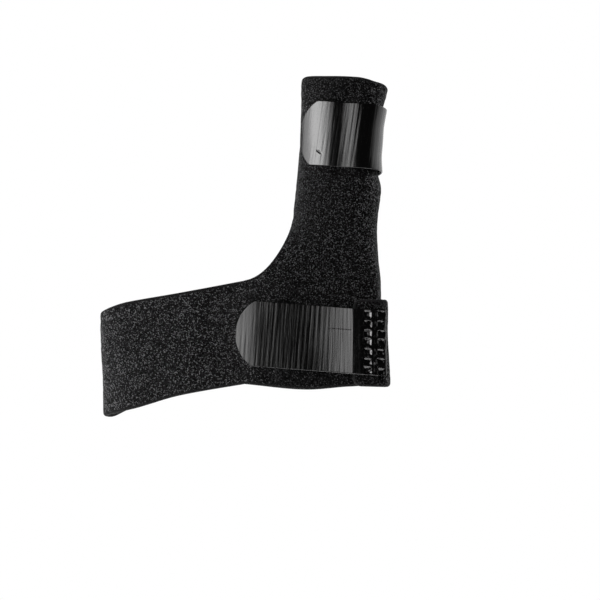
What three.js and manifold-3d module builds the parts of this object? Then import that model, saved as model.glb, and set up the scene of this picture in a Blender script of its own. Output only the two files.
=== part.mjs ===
// Finger splint, shown as worn: one cut of loop-faced foam cloth that makes a finger sleeve,
// a palm panel and a band round the hand, closed by two moulded hook tapes.
// Millimetres, +Z up towards the fingertip, the palm side faces -Y, +X is the thumb side.
// The origin is the middle of the hand loop.

import * as THREE from 'three';
import { mergeVertices } from 'three/addons/utils/BufferGeometryUtils.js';
import Module from 'manifold-3d';

const wasm = await Module();
wasm.setup();

// Cloth
const WALL = 1.8; // foam and loops together
const LAY_GAP = 0.3; // air between layers that lie on each other
const CORNER_RADIUS = 2.6; // cut corners of the cloth

// Hand loop
const HAND_WIDTH = 89.8; // little finger side to thumb side, over the lap
const HAND_DEPTH = 34; // palm side to back, outside one layer
const BAND_WIDTH = 31.7; // height of the band where it leaves the palm panel
const HAND_LEAN = -0.037; // sideways shift for each millimetre of height
const HAND_WRAP = 6; // the panel's edge reaches this far round the thumb side

// Finger sleeve
const SLEEVE_TOP = 85.3; // top edge above the middle of the hand loop
const SLEEVE_LENGTH = 43.3; // top edge to the lower edge of the flap behind the finger
const FINGER_WIDTH = 26.6; // outside, at the foot of the sleeve
const FINGER_DEPTH = 25.5; // outside, at the foot of the sleeve
const FINGER_LEAN = 0.068; // sideways shift for each millimetre of height
const FINGER_INSET = 0.7; // thumb side of the finger, in from the thumb side of the panel
const FINGER_WRAP = 9; // the panel's edge reaches this far round behind the finger
const CLOSING_GAP = 2; // slit between the panel's edge and the flap's end
const CREST_INSET = 9.1; // the front ridge line, in from the thumb side

// Hook tapes
const TAPE_WIDTH = 20;
const TAPE_THICKNESS = 0.8;
const TAPE_END_RADIUS = 11.2;
const TAPE_SLOPE = 0.075; // rise for each millimetre along the tape, towards its round end
const FINGER_TAPE_LENGTH = 53;
const HAND_TAPE_LENGTH = 45.6;
const FINGER_TAPE_DROP = 19.3; // middle of the tape at the ridge line, down from the top edge
const HAND_TAPE_HEIGHT = 2.9;
const FINGER_TAPE_TIP = 18.3; // round end, past the front ridge line along the cloth
const FOLD_PAST_RIDGE = 0.3; // the hand tape folds down just past the band's end
const TAPE_DROP = 14; // length over which the hand tape comes down off the band's end
const RIDGE_PITCH = 1.58;
const RIDGE_HEIGHT = 0.12;

// Weld pits at the fixed end of each tape
const WELD_LENGTH = 9.7;
const PIT_MARGIN = 1.95; // first column of pits, in from the tape's end
const PIT_SIZE = 2.4;
const PIT_PITCH_ALONG = 3.8;
const PIT_PITCH_ACROSS = 2.87;
const PIT_COLUMNS = 2;
const PIT_FLOOR = 0.45; // height of the floor, as a share of the tape's thickness
const PIT_TAPER = 0.72; // floor's width as a share of the pit's

const LAP = WALL + LAY_GAP;
const NECK_TOP = SLEEVE_TOP - SLEEVE_LENGTH;

// Where the hand loop reaches furthest: how far behind the origin its two sides do, as shares
// of its depth, and how far to the thumb side its back does, as a share of its width.
const HAND_REACH = { littleSide: 0.03, thumbSide: -0.12, back: 0.03 };
const THUMB_SIDE_UPRIGHT = HAND_DEPTH / 6; // above this height the thumb side leans no more

// The cut edge from the sleeve's side down to the band: a cubic curve whose two handles are
// shares of the way across and of the way down. Between the same levels the finger's outline
// turns into the hand's, later on for a power above 1.
const NECK_HANDLES = [
  { across: 0.14, down: 0.41 },
  { across: 0.46, down: 0.93 },
];
const NECK_BLEND = 1.4;

// Sleeve sections from the foot (0) to the top edge (1): how far each side stands off the
// leaning middle line as a share of the finger's width, the depth as a share of the finger's,
// and how far the front stands forward as a share of half the hand's depth.
// The tape presses the foam in on the thumb side, in the rows between 0.2 and 0.85.
const SLEEVE_SECTIONS = [
  { rise: 0, left: 0.5, right: 0.5, depth: 1, front: 0.91 },
  { rise: 0.18, left: 0.486, right: 0.503, depth: 0.965, front: 0.87 },
  { rise: 0.3, left: 0.479, right: 0.459, depth: 0.943, front: 0.843 },
  { rise: 0.45, left: 0.477, right: 0.424, depth: 0.905, front: 0.8 },
  { rise: 0.6, left: 0.482, right: 0.426, depth: 0.878, front: 0.766 },
  { rise: 0.75, left: 0.491, right: 0.459, depth: 0.858, front: 0.744 },
  { rise: 0.85, left: 0.498, right: 0.495, depth: 0.847, front: 0.727 },
  { rise: 0.92, left: 0.503, right: 0.52, depth: 0.836, front: 0.714 },
  { rise: 1, left: 0.509, right: 0.525, depth: 0.825, front: 0.7 },
];

// Sleeve edges by place round the finger (0 the ridge line, 1 the side to the middle finger,
// 2 behind, -1 the thumb side), as shares of the sleeve's length, down from its top and up
// from its foot.
const SLEEVE_EDGES = [
  { place: -1.6, fall: 0.1, lift: 0 },
  { place: -1, fall: 0.085, lift: 0 },
  { place: -0.6, fall: 0.068, lift: 0 },
  { place: -0.33, fall: 0.053, lift: 0 },
  { place: -0.15, fall: 0.034, lift: 0 },
  { place: 0, fall: 0.023, lift: 0 },
  { place: 0.5, fall: 0.009, lift: 0 },
  { place: 0.8, fall: 0.003, lift: 0 },
  { place: 1, fall: 0.01, lift: 0 },
  { place: 1.3, fall: 0.02, lift: 0.02 },
  { place: 2, fall: 0.05, lift: 0.035 },
  { place: 2.6, fall: 0.085, lift: 0.04 },
];

// Band edges by place round the hand (0.39 where it leaves the panel, 1 the little finger
// side, 2 behind, 3 the thumb side, 4 its end), as shares of the band's width.
const BAND_EDGES = [
  { place: 0.39, top: 0.672, bottom: -0.328 },
  { place: 0.63, top: 0.553, bottom: -0.442 },
  { place: 0.82, top: 0.469, bottom: -0.583 },
  { place: 1, top: 0.369, bottom: -0.67 },
  { place: 1.1, top: 0.365, bottom: -0.685 },
  { place: 1.25, top: 0.385, bottom: -0.61 },
  { place: 1.5, top: 0.48, bottom: -0.48 },
  { place: 2, top: 0.62, bottom: -0.3 },
  { place: 2.5, top: 0.56, bottom: -0.31 },
  { place: 3, top: 0.49, bottom: -0.36 },
  { place: 4, top: 0.49, bottom: -0.345 },
];

// Lower edge of the panel by place, as shares of the band's width.
const PANEL_HEM = [
  { place: -1.4, bottom: -0.36 },
  { place: -1, bottom: -0.355 },
  { place: -0.4, bottom: -0.338 },
  { place: 0, bottom: -0.35 },
  { place: 0.16, bottom: -0.38 },
  { place: 0.39, bottom: -0.328 },
];

const JUNCTION = BAND_EDGES[0].place;
const NECK_BOTTOM = BAND_EDGES[0].top * BAND_WIDTH;

// How full the corners are, 2 for an ellipse and more for a squarer one.
const FINGER_FULLNESS = { frontLeft: 2.1, backLeft: 2.2, backRight: 2.2, frontRight: 2.7 };
const HAND_FULLNESS = { frontLeft: 2.5, backLeft: 2.4, backRight: 2.2, frontRight: 4.5 };
const LAP_FULLNESS = 6;

const mix = (a, b, share) => a + (b - a) * share;
const clamp = (value) => Math.min(1, Math.max(0, value));
const smooth = (share) => share * share * (3 - 2 * share);
const even = (count) => Array.from({ length: count + 1 }, (unused, i) => i / count);

// A smooth curve through the rows of a table: cubic pieces whose slopes follow the rows
// on both sides.
function fromTable(rows, key, column, at) {
  const last = rows.length - 1;
  if (at <= rows[0][key]) return rows[0][column];
  if (at >= rows[last][key]) return rows[last][column];
  const i = rows.findIndex((row) => row[key] > at) - 1;
  const step = (j) => (rows[j + 1][column] - rows[j][column]) / (rows[j + 1][key] - rows[j][key]);
  const slope = (j) => {
    if (j === 0) return step(0);
    if (j === last) return step(last - 1);
    const before = step(j - 1);
    const after = step(j);
    return before * after > 0 ? (2 * before * after) / (before + after) : 0;
  };
  const span = rows[i + 1][key] - rows[i][key];
  const t = (at - rows[i][key]) / span;
  const rest = 1 - t;
  return (
    rows[i][column] * rest * rest * (1 + 2 * t) +
    rows[i + 1][column] * t * t * (3 - 2 * t) +
    slope(i) * span * t * rest * rest -
    slope(i + 1) * span * t * t * rest
  );
}

// How far a level belongs to the hand (1) or to the finger (0).
function handShare(z) {
  const fall = clamp((NECK_TOP - z) / (NECK_TOP - NECK_BOTTOM));
  return smooth(fall ** NECK_BLEND);
}

// The extreme points of a level's outline, counted round the cloth: 0 front, 1 little finger
// side, 2 back, 3 thumb side and 4 front again where the band laps over the panel;
// -1 is the panel's own thumb side and -2 the back under the band.
function extreme(count, z) {
  const rise = (z - NECK_TOP) / SLEEVE_LENGTH;
  const toLeft = FINGER_WIDTH * fromTable(SLEEVE_SECTIONS, 'rise', 'left', rise);
  const toRight = FINGER_WIDTH * fromTable(SLEEVE_SECTIONS, 'rise', 'right', rise);
  const depth = FINGER_DEPTH * fromTable(SLEEVE_SECTIONS, 'rise', 'depth', rise);
  const front = -(HAND_DEPTH / 2) * fromTable(SLEEVE_SECTIONS, 'rise', 'front', rise);
  const thumbSide = HAND_WIDTH / 2 - LAP;
  const foot = thumbSide - FINGER_INSET - FINGER_WIDTH / 2;
  const centre = foot + FINGER_LEAN * (z - NECK_TOP);
  const shift = HAND_LEAN * Math.min(z, NECK_TOP);
  const thumbShift = HAND_LEAN * Math.min(z, THUMB_SIDE_UPRIGHT);
  const finger = {
    left: [centre - toLeft, front + depth / 2],
    right: [centre + toRight, front + depth / 2],
    front: [centre + FINGER_WIDTH / 2 - CREST_INSET, front],
    back: [centre, front + depth],
  };
  const hand = {
    left: [-HAND_WIDTH / 2 + shift, HAND_DEPTH * HAND_REACH.littleSide],
    right: [thumbSide + thumbShift, HAND_DEPTH * HAND_REACH.thumbSide],
    front: [thumbSide - CREST_INSET, -HAND_DEPTH / 2],
    back: [HAND_WIDTH * HAND_REACH.back, HAND_DEPTH / 2],
  };
  const side = ['front', 'left', 'back', 'right'][((count % 4) + 4) % 4];
  const share = handShare(z);
  const layer = (count >= 3 ? LAP : count <= -2 ? -LAP : 0) * share;
  const out = { front: [0, -1], left: [-1, 0], back: [0, 1], right: [1, 0] }[side];
  return finger[side].map((value, axis) => mix(value, hand[side][axis], share) + out[axis] * layer);
}

const QUARTER_STEPS = 48;
const quarterCache = new Map();

// One quarter of a level's outline, from extreme point k to k + 1, as a chain of points with
// the length run so far: a superellipse about the corner that the two extremes share.
function quarter(k, z) {
  const key = `${k} ${z.toFixed(5)}`;
  if (quarterCache.has(key)) return quarterCache.get(key);
  const share = handShare(z);
  const from = extreme(k, z);
  const to = extreme(k + 1, z);
  const name = ['frontLeft', 'backLeft', 'backRight', 'frontRight'][((k % 4) + 4) % 4];
  const handFullness = k === 3 ? LAP_FULLNESS : HAND_FULLNESS[name];
  const fullness = mix(FINGER_FULLNESS[name], handFullness, share);
  const startsUpright = k % 2 === 0;
  const centre = startsUpright ? [from[0], to[1]] : [to[0], from[1]];
  const points = [];
  const run = [0];
  for (let i = 0; i <= QUARTER_STEPS; i++) {
    const angle = (i / QUARTER_STEPS) * (Math.PI / 2);
    const cos = i === QUARTER_STEPS ? 0 : Math.cos(angle);
    const sin = Math.sin(angle);
    const radius = (cos ** fullness + sin ** fullness) ** (-1 / fullness);
    const x = centre[0] + radius * (cos * (from[0] - centre[0]) + sin * (to[0] - centre[0]));
    const y = centre[1] + radius * (cos * (from[1] - centre[1]) + sin * (to[1] - centre[1]));
    points.push([x, y]);
    if (i > 0) run.push(run[i - 1] + Math.hypot(x - points[i - 1][0], y - points[i - 1][1]));
  }
  const made = { points, run, length: run[QUARTER_STEPS] };
  quarterCache.set(key, made);
  return made;
}

// Place round a level: whole numbers are the extreme points, and a place between them is the
// share of the length of that quarter.
function levelPoint(place, z) {
  const k = Math.floor(place);
  const { points, run, length } = quarter(k, z);
  const target = (place - k) * length;
  let i = 1;
  while (i < QUARTER_STEPS && run[i] < target) i++;
  const share = (target - run[i - 1]) / (run[i] - run[i - 1]);
  return [mix(points[i - 1][0], points[i][0], share), mix(points[i - 1][1], points[i][1], share)];
}

// Place from a length along the level, positive towards the little finger.
function placeAt(length, z, start = 0) {
  let place = start;
  let rest = length;
  while (rest > 0) {
    const whole = quarter(place, z).length;
    if (rest <= whole) return place + rest / whole;
    rest -= whole;
    place += 1;
  }
  while (rest < 0) {
    const whole = quarter(place - 1, z).length;
    if (-rest <= whole) return place + rest / whole;
    rest += whole;
    place -= 1;
  }
  return place;
}

// Places from one to another on a level, closer together where the outline turns: each step
// has the same share of the length run plus TURN_WEIGHT for each radian turned.
const TURN_WEIGHT = 6;
const TURN_SAMPLES = 240;

function spreadPlaces(from, to, z, count) {
  const at = even(TURN_SAMPLES).map((share) => mix(from, to, share));
  const points = at.map((place) => new THREE.Vector2(...levelPoint(place, z)));
  const way = [0];
  for (let i = 1; i <= TURN_SAMPLES; i++) {
    const step = points[i].clone().sub(points[i - 1]);
    const next = i < TURN_SAMPLES ? points[i + 1].clone().sub(points[i]) : step;
    way.push(way[i - 1] + step.length() + TURN_WEIGHT * Math.abs(step.angleTo(next)));
  }
  let i = 0;
  return even(count).map((share) => {
    if (share === 0) return from;
    if (share === 1) return to;
    const target = share * way[TURN_SAMPLES];
    while (way[i + 1] < target) i++;
    return mix(at[i], at[i + 1], (target - way[i]) / (way[i + 1] - way[i]));
  });
}

// A point of the outer face of the cloth, moved out by rise along the face's own direction.
const PLACE_STEP = 0.012;
const HEIGHT_STEP = 0.4;

function clothPoint(place, z, rise = 0) {
  const [x, y] = levelPoint(place, z);
  const ahead = levelPoint(place + PLACE_STEP, z);
  const behind = levelPoint(place - PLACE_STEP, z);
  const above = levelPoint(place, z + HEIGHT_STEP);
  const below = levelPoint(place, z - HEIGHT_STEP);
  const round = new THREE.Vector3(ahead[0] - behind[0], ahead[1] - behind[1], 0);
  const up = new THREE.Vector3(above[0] - below[0], above[1] - below[1], 2 * HEIGHT_STEP);
  const outward = up.cross(round).normalize();
  return new THREE.Vector3(x, y, z).addScaledVector(outward, rise);
}

// The panel's edge round the thumb side, and the flap's end that faces it across the slit.
function panelEdgePlace(z) {
  const wrap = mix(FINGER_WRAP, HAND_WRAP, handShare(z));
  return placeAt(-wrap, z, -1);
}

function flapEndPlace(z) {
  const slit = CLOSING_GAP / quarter(-2, z).length;
  return 4 + panelEdgePlace(z) - slit;
}

// The value from 0 to 1 up to which a test holds, found by halving.
const HALVINGS = 40;

function lastWhere(holds) {
  let low = 0;
  let high = 1;
  for (let i = 0; i < HALVINGS; i++) {
    const middle = (low + high) / 2;
    if (holds(middle)) low = middle;
    else high = middle;
  }
  return low;
}

// The cut edge between the sleeve and the band in the front view, read as a place at each
// height.
function neckEdgePlace(z) {
  const start = levelPoint(1, NECK_TOP)[0];
  const end = levelPoint(JUNCTION, NECK_BOTTOM)[0];
  const corners = [{ across: 0, down: 0 }, ...NECK_HANDLES, { across: 1, down: 1 }];
  const curve = new THREE.CubicBezierCurve(...corners.map(({ across, down }) =>
    new THREE.Vector2(mix(start, end, across), mix(NECK_TOP, NECK_BOTTOM, down))));
  const x = curve.getPoint(lastWhere((share) => curve.getPoint(share).y > z)).x;
  return lastWhere((place) => levelPoint(place, z)[0] > x);
}

// A free end is cut back at its two corners, to a quarter circle.
function cornerCut(share, height) {
  const toEdge = Math.min(share, 1 - share) * height;
  if (toEdge >= CORNER_RADIUS) return 0;
  const off = CORNER_RADIUS - toEdge;
  return CORNER_RADIUS - Math.sqrt(CORNER_RADIUS ** 2 - off ** 2);
}

const sleeveTop = (place) =>
  SLEEVE_TOP - SLEEVE_LENGTH * fromTable(SLEEVE_EDGES, 'place', 'fall', place);
const flapFoot = (place) =>
  NECK_TOP + SLEEVE_LENGTH * fromTable(SLEEVE_EDGES, 'place', 'lift', place);
const bandTop = (place) => BAND_WIDTH * fromTable(BAND_EDGES, 'place', 'top', place);
const bandBottom = (place) => BAND_WIDTH * fromTable(BAND_EDGES, 'place', 'bottom', place);
const panelHem = (place) => BAND_WIDTH * fromTable(PANEL_HEM, 'place', 'bottom', place);

// Shares of rows and columns, closer together next to the cut edges.
const SLEEVE_ROWS = [0, 0.025, 0.06, 0.13, 0.22, 0.32, 0.42, 0.52, 0.62, 0.72, 0.82, 0.91, 0.96, 1];
const BAND_ROWS = [0, 0.03, 0.08, 0.2, 0.35, 0.5, 0.65, 0.8, 0.92, 0.97, 1];
const NECK_ROW_COUNT = 9;
const PANEL_COLUMN_COUNT = 24;
const FLAP_COLUMN_COUNT = 14;
const BAND_COLUMN_COUNT = 60;

// The sheet is a set of places (place, height), each made once, and four-sided cells
// between them.
class Sheet {
  constructor() {
    this.outer = [];
    this.inner = [];
    this.cells = [];
    this.known = new Map();
  }

  point(place, z) {
    const outer = clothPoint(place, z);
    const key = outer.toArray().map((value) => value.toFixed(3)).join(' ');
    if (!this.known.has(key)) {
      this.known.set(key, this.outer.length);
      this.outer.push(outer);
      this.inner.push(clothPoint(place, z, -WALL));
    }
    return this.known.get(key);
  }

  // rows: each a list of [place, z] that runs away from the thumb side.
  patch(rows) {
    const grid = rows.map((row) => row.map(([place, z]) => this.point(place, z)));
    for (let i = 0; i + 1 < grid.length; i++) {
      for (let j = 0; j + 1 < grid[i].length; j++) {
        this.cells.push([grid[i][j], grid[i][j + 1], grid[i + 1][j + 1], grid[i + 1][j]]);
      }
    }
  }

  // Outer face, inner face, and a rim on every edge that only one cell uses.
  solid() {
    const count = this.outer.length;
    const index = [];
    const quad = (a, b, c, d) => index.push(a, b, c, a, c, d);
    const uses = new Map();
    for (const cell of this.cells) {
      quad(...cell);
      quad(...[...cell].reverse().map((i) => i + count));
      cell.forEach((a, side) => {
        const b = cell[(side + 1) % 4];
        const key = a < b ? `${a} ${b}` : `${b} ${a}`;
        if (uses.has(key)) uses.set(key, null);
        else uses.set(key, [a, b]);
      });
    }
    for (const edge of uses.values()) {
      if (edge) quad(edge[1], edge[0], edge[0] + count, edge[1] + count);
    }
    return closedGeometry([...this.outer, ...this.inner], index);
  }
}

function closedGeometry(points, index) {
  const geometry = new THREE.BufferGeometry();
  geometry.setAttribute('position', new THREE.Float32BufferAttribute(points.flatMap((p) => p.toArray()), 3));
  geometry.setIndex(index);
  return mergeVertices(geometry, 1e-3);
}

// A row from the panel's edge on the thumb side to a given place.
function panelRow(leftPlace, middleZ, height) {
  const places = spreadPlaces(panelEdgePlace(middleZ), leftPlace, middleZ, PANEL_COLUMN_COUNT);
  return places.map((place) => [place, height(place)]);
}

function splintWrap() {
  const sheet = new Sheet();
  const sleeveLevel = (share) => (place) => mix(sleeveTop(place), NECK_TOP, share);
  const palmLevel = (share) => (place) => mix(NECK_BOTTOM, panelHem(place), share);

  const neckRows = even(NECK_ROW_COUNT).slice(1, -1).map((share) => {
    const z = mix(NECK_TOP, NECK_BOTTOM, share);
    return panelRow(neckEdgePlace(z), z, () => z);
  });
  sheet.patch([
    ...SLEEVE_ROWS.map((share) => panelRow(1, sleeveLevel(share)(0), sleeveLevel(share))),
    ...neckRows,
    ...BAND_ROWS.map((share) => panelRow(JUNCTION, palmLevel(share)(0), palmLevel(share))),
  ]);

  sheet.patch(SLEEVE_ROWS.map((share) => {
    const end = flapEndPlace(mix(SLEEVE_TOP, NECK_TOP, share));
    const cut = cornerCut(share, SLEEVE_LENGTH) / quarter(2, NECK_TOP).length;
    const places = spreadPlaces(1, end - cut, NECK_TOP, FLAP_COLUMN_COUNT);
    return places.map((place) => [place, mix(sleeveTop(place), flapFoot(place), share)]);
  }));

  const endHeight = bandTop(4) - bandBottom(4);
  sheet.patch(BAND_ROWS.map((share) => {
    const cut = cornerCut(share, endHeight) / quarter(3, 0).length;
    const places = spreadPlaces(JUNCTION, 4 - cut, 0, BAND_COLUMN_COUNT);
    return places.map((place) => [place, mix(bandTop(place), bandBottom(place), share)]);
  }));
  return sheet.solid();
}

// Tape places are (along, across, rise): along runs from the welded end to the round end.
// ride turns a length from the ridge line and a height into a place on the cloth.
function tapePoint(tape, along, across, rise) {
  const length = tape.start + along - across * TAPE_SLOPE;
  const z = tape.height + across + (tape.start + along) * TAPE_SLOPE;
  return tape.ride(length, z, rise + LAY_GAP);
}

const fingerRide = (length, z, rise) => clothPoint(placeAt(length, z), z, rise);

function handRide(length, z, rise) {
  if (length <= 0) return clothPoint(placeAt(length, z, 4), z, rise);
  const drop = (1 - clamp(length / TAPE_DROP)) ** 2;
  return clothPoint(placeAt(length, z), z, rise + LAP * drop);
}

// Half the tape's width, which follows the arc near the round end.
function halfWidth(tape, along) {
  const toTip = tape.length - along;
  if (toTip >= TAPE_END_RADIUS) return TAPE_WIDTH / 2;
  const arc = Math.sqrt(TAPE_END_RADIUS ** 2 - (TAPE_END_RADIUS - toTip) ** 2);
  return Math.min(TAPE_WIDTH / 2, arc);
}

// The strip: a flat underside, and a top face with a cross ridge at each pitch past the weld.
const TAPE_ROWS = even(4).map((share) => share * 2 - 1);
const TIP_CUT = 0.12; // the arc stops this far short of its very tip
const WELD_STEPS = 9;

function tapeStrip(tape) {
  const ridges = Math.floor(((tape.length - WELD_LENGTH) / RIDGE_PITCH) * 2);
  const stations = even(WELD_STEPS).map((share) => [share * WELD_LENGTH, 0]);
  for (let i = 1; i <= ridges; i++) {
    const along = WELD_LENGTH + (i * RIDGE_PITCH) / 2;
    if (along < tape.length - RIDGE_PITCH / 4) stations.push([along, i % 2 ? -RIDGE_HEIGHT : 0]);
  }
  stations.push([tape.length - TIP_CUT, 0]);
  const points = [];
  for (const [along, dip] of stations) {
    const half = halfWidth(tape, along);
    for (const share of TAPE_ROWS) {
      points.push(tapePoint(tape, along, share * half, 0));
      points.push(tapePoint(tape, along, share * half, TAPE_THICKNESS + dip));
    }
  }
  const rows = TAPE_ROWS.length;
  const at = (i, j, top) => (i * rows + j) * 2 + top;
  const index = [];
  const quad = (a, b, c, d) => index.push(a, b, c, a, c, d);
  for (let i = 0; i + 1 < stations.length; i++) {
    for (let j = 0; j + 1 < rows; j++) {
      quad(at(i, j, 1), at(i, j + 1, 1), at(i + 1, j + 1, 1), at(i + 1, j, 1));
      quad(at(i, j, 0), at(i + 1, j, 0), at(i + 1, j + 1, 0), at(i, j + 1, 0));
    }
    quad(at(i, 0, 0), at(i, 0, 1), at(i + 1, 0, 1), at(i + 1, 0, 0));
    quad(at(i, rows - 1, 0), at(i + 1, rows - 1, 0), at(i + 1, rows - 1, 1), at(i, rows - 1, 1));
  }
  const last = stations.length - 1;
  for (let j = 0; j + 1 < rows; j++) {
    quad(at(0, j, 0), at(0, j + 1, 0), at(0, j + 1, 1), at(0, j, 1));
    quad(at(last, j, 0), at(last, j, 1), at(last, j + 1, 1), at(last, j + 1, 0));
  }
  return closedGeometry(points, index);
}

// One weld pit: a square frustum that narrows towards its floor, cut out to above the face.
const PIT_CUT_TOP = 1.3;

function weldPit(tape, along, across) {
  const widen = (1 - PIT_TAPER) / (1 - PIT_FLOOR);
  const levels = [PIT_FLOOR, PIT_CUT_TOP].map((share) => ({
    rise: TAPE_THICKNESS * share,
    half: (PIT_SIZE / 2) * (1 + widen * (share - 1)),
  }));
  const corners = [[-1, -1], [-1, 1], [1, 1], [1, -1]];
  const points = levels.flatMap(({ rise, half }) =>
    corners.map(([a, b]) => tapePoint(tape, along + a * half, across + b * half, rise)));
  const index = [0, 2, 1, 0, 3, 2, 4, 5, 6, 4, 6, 7];
  for (let i = 0; i < 4; i++) {
    const j = (i + 1) % 4;
    index.push(i, j, j + 4, i, j + 4, i + 4);
  }
  return closedGeometry(points, index);
}

function toManifold(geometry) {
  const vertProperties = Float32Array.from(geometry.attributes.position.array);
  const triVerts = Uint32Array.from(geometry.index.array);
  return new wasm.Manifold(new wasm.Mesh({ numProp: 3, vertProperties, triVerts }));
}

function fromManifold(solid) {
  const { vertProperties, triVerts } = solid.getMesh();
  const geometry = new THREE.BufferGeometry();
  geometry.setAttribute('position', new THREE.BufferAttribute(Float32Array.from(vertProperties), 3));
  geometry.setIndex(Array.from(triVerts));
  return geometry;
}

function hookTape(tape) {
  let solid = toManifold(tapeStrip(tape));
  const rows = 1 + Math.floor((TAPE_WIDTH - PIT_SIZE) / PIT_PITCH_ACROSS);
  for (let column = 0; column < PIT_COLUMNS; column++) {
    for (let row = 0; row < rows; row++) {
      const along = PIT_MARGIN + column * PIT_PITCH_ALONG;
      const across = (row - (rows - 1) / 2) * PIT_PITCH_ACROSS;
      solid = solid.subtract(toManifold(weldPit(tape, along, across)));
    }
  }
  return fromManifold(solid);
}

const fingerTape = {
  length: FINGER_TAPE_LENGTH,
  start: FINGER_TAPE_TIP - FINGER_TAPE_LENGTH,
  height: SLEEVE_TOP - FINGER_TAPE_DROP,
  ride: fingerRide,
};
const handTape = {
  length: HAND_TAPE_LENGTH,
  start: FOLD_PAST_RIDGE - WELD_LENGTH,
  height: HAND_TAPE_HEIGHT,
  ride: handRide,
};

const CLOTH_FINISH = { color: 0x0b0b0c, roughness: 0.95, metalness: 0 };
const TAPE_FINISH = { color: 0x060606, roughness: 0.25, metalness: 0 };

function named(name, geometry, finish) {
  const mesh = new THREE.Mesh(geometry, new THREE.MeshStandardMaterial(finish));
  mesh.name = name;
  return mesh;
}

const splint = new THREE.Group();
splint.add(
  named('splint_wrap', splintWrap(), CLOTH_FINISH),
  named('finger_tab', hookTape(fingerTape), TAPE_FINISH),
  named('hand_tab', hookTape(handTape), TAPE_FINISH),
);

export default splint;
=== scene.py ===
# %% [markdown]
# # A finger splint in black loop cloth
#
# The splint is one cut of foam cloth: a sleeve for the finger, a palm panel and a band that
# goes round the hand. Two moulded hook tapes close it. This lesson dresses the plain solids
# of the frame: the cloth and both tapes are worked out again as fine surfaces of the same
# form, and then they get their finishes.

# %% Load the frame
import math

import bmesh
import bpy
import numpy as np
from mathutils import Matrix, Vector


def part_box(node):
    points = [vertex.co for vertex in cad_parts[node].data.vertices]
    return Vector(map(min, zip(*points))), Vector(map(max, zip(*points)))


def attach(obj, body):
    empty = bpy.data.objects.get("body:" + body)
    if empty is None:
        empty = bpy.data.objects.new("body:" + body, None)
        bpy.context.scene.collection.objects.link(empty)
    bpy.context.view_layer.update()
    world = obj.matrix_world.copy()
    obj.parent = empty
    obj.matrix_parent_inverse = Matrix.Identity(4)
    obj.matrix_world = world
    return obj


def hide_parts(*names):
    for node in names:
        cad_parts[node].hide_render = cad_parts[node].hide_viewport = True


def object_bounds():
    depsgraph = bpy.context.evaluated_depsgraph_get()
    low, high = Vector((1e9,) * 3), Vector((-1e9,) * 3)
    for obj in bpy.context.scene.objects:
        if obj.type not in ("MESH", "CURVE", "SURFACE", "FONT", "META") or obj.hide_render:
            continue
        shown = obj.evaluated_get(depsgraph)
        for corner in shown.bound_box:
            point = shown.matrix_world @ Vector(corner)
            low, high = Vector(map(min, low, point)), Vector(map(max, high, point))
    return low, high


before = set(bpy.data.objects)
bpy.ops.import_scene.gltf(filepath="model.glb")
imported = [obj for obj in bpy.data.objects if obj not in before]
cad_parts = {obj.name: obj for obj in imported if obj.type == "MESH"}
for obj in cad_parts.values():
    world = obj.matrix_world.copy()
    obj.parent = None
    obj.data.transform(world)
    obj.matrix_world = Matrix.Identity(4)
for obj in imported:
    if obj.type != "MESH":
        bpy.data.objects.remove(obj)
cad_low, cad_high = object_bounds()
print("frame nodes:", sorted(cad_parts))

# %% [markdown]
# ## Units and driving sizes
#
# All sizes are in millimetres, and a mesh is made in metres only at the very end. The large
# sizes come from the cloth's box in the frame, so the looks follow the solids. The box is a
# little wider than the hand loop because the loop leans. Typing every size again would also
# work, but then a change in the solids would leave the cloth behind.

# %% Sizes of the cloth
MM = 0.001

wrap_low, wrap_high = (np.array(corner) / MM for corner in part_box("splint_wrap"))
wrap_size = wrap_high - wrap_low

WALL = 1.8
LAY_GAP = 0.3
LAP = WALL + LAY_GAP
CORNER_RADIUS = 2.6
EDGE_ROUND = 1.15

LOOP_SHARE = 0.9906
TOP_SHARE = 1.0015
HAND_WIDTH = LOOP_SHARE * wrap_size[0]
HAND_DEPTH = 2 * wrap_high[1]
BAND_WIDTH = 31.7
HAND_LEAN = -0.037
HAND_WRAP = 6.0
HAND_REACH = {"little": 0.03, "thumb": -0.12, "back": 0.03}
THUMB_SIDE_UPRIGHT = HAND_DEPTH / 6

SLEEVE_TOP = TOP_SHARE * wrap_high[2]
SLEEVE_LENGTH = 43.3
NECK_TOP = SLEEVE_TOP - SLEEVE_LENGTH
FINGER_WIDTH = 26.6
FINGER_DEPTH = 25.5
FINGER_LEAN = 0.068
FINGER_INSET = 0.7
FINGER_WRAP = 9.0
CLOSING_GAP = 2.0
CREST_INSET = 9.1
NECK_BLEND = 1.4
NECK_HANDLES = {"across": (0.14, 0.46), "down": (0.41, 0.93)}

print("hand loop", HAND_WIDTH.round(2), "x", HAND_DEPTH.round(2), "mm")
print("sleeve top", SLEEVE_TOP.round(2), "mm above the middle of the loop")

# %% Sections and edges of the cloth, as shares
SLEEVE_SECTIONS = {
    "rise": (0, 0.18, 0.3, 0.45, 0.6, 0.75, 0.85, 0.92, 1),
    "left": (0.5, 0.486, 0.479, 0.477, 0.482, 0.491, 0.498, 0.503, 0.509),
    "right": (0.5, 0.503, 0.459, 0.424, 0.426, 0.459, 0.495, 0.52, 0.525),
    "depth": (1, 0.965, 0.943, 0.905, 0.878, 0.858, 0.847, 0.836, 0.825),
    "front": (0.91, 0.87, 0.843, 0.8, 0.766, 0.744, 0.727, 0.714, 0.7),
}
SLEEVE_EDGES = {
    "place": (-1.6, -1, -0.6, -0.33, -0.15, 0, 0.5, 0.8, 1, 1.3, 2, 2.6),
    "fall": (0.1, 0.085, 0.068, 0.053, 0.034, 0.023, 0.009, 0.003, 0.01, 0.02, 0.05, 0.085),
    "lift": (0, 0, 0, 0, 0, 0, 0, 0, 0, 0.02, 0.035, 0.04),
}
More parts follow.
